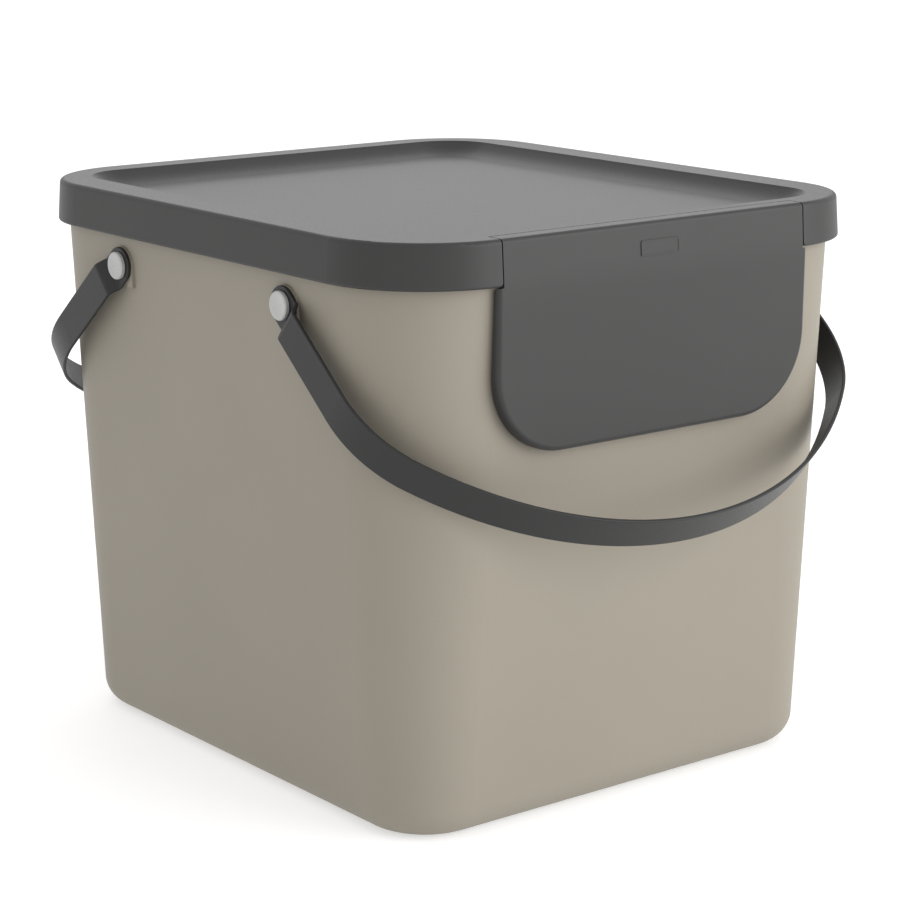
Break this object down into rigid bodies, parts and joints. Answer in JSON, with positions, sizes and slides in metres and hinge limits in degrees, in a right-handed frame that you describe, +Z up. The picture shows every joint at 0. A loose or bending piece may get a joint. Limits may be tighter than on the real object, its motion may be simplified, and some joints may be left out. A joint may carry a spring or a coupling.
{
  "type": "recycling bin",
  "caption": "Drafted household recycling bin with a tray lid, a hinged throw-in flap in the lid's front edge and two swinging strap handles on snap buttons.",
  "frame": {"origin": "on the floor under the middle of the bin", "axes": "+X to the right seen from the flap side, +Y to the rear away from the flap, +Z up"},
  "size_m": [0.3632, 0.4818, 0.34],
  "materials": {
    "tub_plastic": "matt warm grey-beige polypropylene with a fine spark-eroded texture",
    "lid_plastic": "matt anthracite polypropylene",
    "strap_plastic": "satin dark anthracite flexible polypropylene",
    "button_plastic": "satin light grey plastic"
  },
  "bodies": {
    "bin": {"bin_body": "tub_plastic", "button_front_left": "button_plastic", "button_front_right": "button_plastic", "button_rear_left": "button_plastic", "button_rear_right": "button_plastic"},
    "lid": {"lid": "lid_plastic"},
    "flap": {"flap": "lid_plastic"},
    "handle_front": {"handle_front": "strap_plastic", "handle_front_eye_left": "strap_plastic", "handle_front_eye_right": "strap_plastic"},
    "handle_rear": {"handle_rear": "strap_plastic", "handle_rear_eye_left": "strap_plastic", "handle_rear_eye_right": "strap_plastic"}
  },
  "joints": [
    {"name": "lid_lift", "type": "slide", "parent": "bin", "child": "lid", "axis": [0, 0, 1], "range_m": [0, 0.024]},
    {"name": "flap_hinge", "type": "hinge", "parent": "lid", "child": "flap", "pos_m": [0, -0.1907, 0.3366], "axis": [-1, 0, 0], "range_deg": [0, 96]},
    {"name": "handle_front_swing", "type": "hinge", "parent": "bin", "child": "handle_front", "pos_m": [0, -0.0863, 0.2962], "axis": [-1, 0, 0], "range_deg": [0, 153]},
    {"name": "handle_rear_swing", "type": "hinge", "parent": "bin", "child": "handle_rear", "pos_m": [0, 0.0863, 0.2962], "axis": [1, 0, 0], "range_deg": [0, 153]}
  ]
}
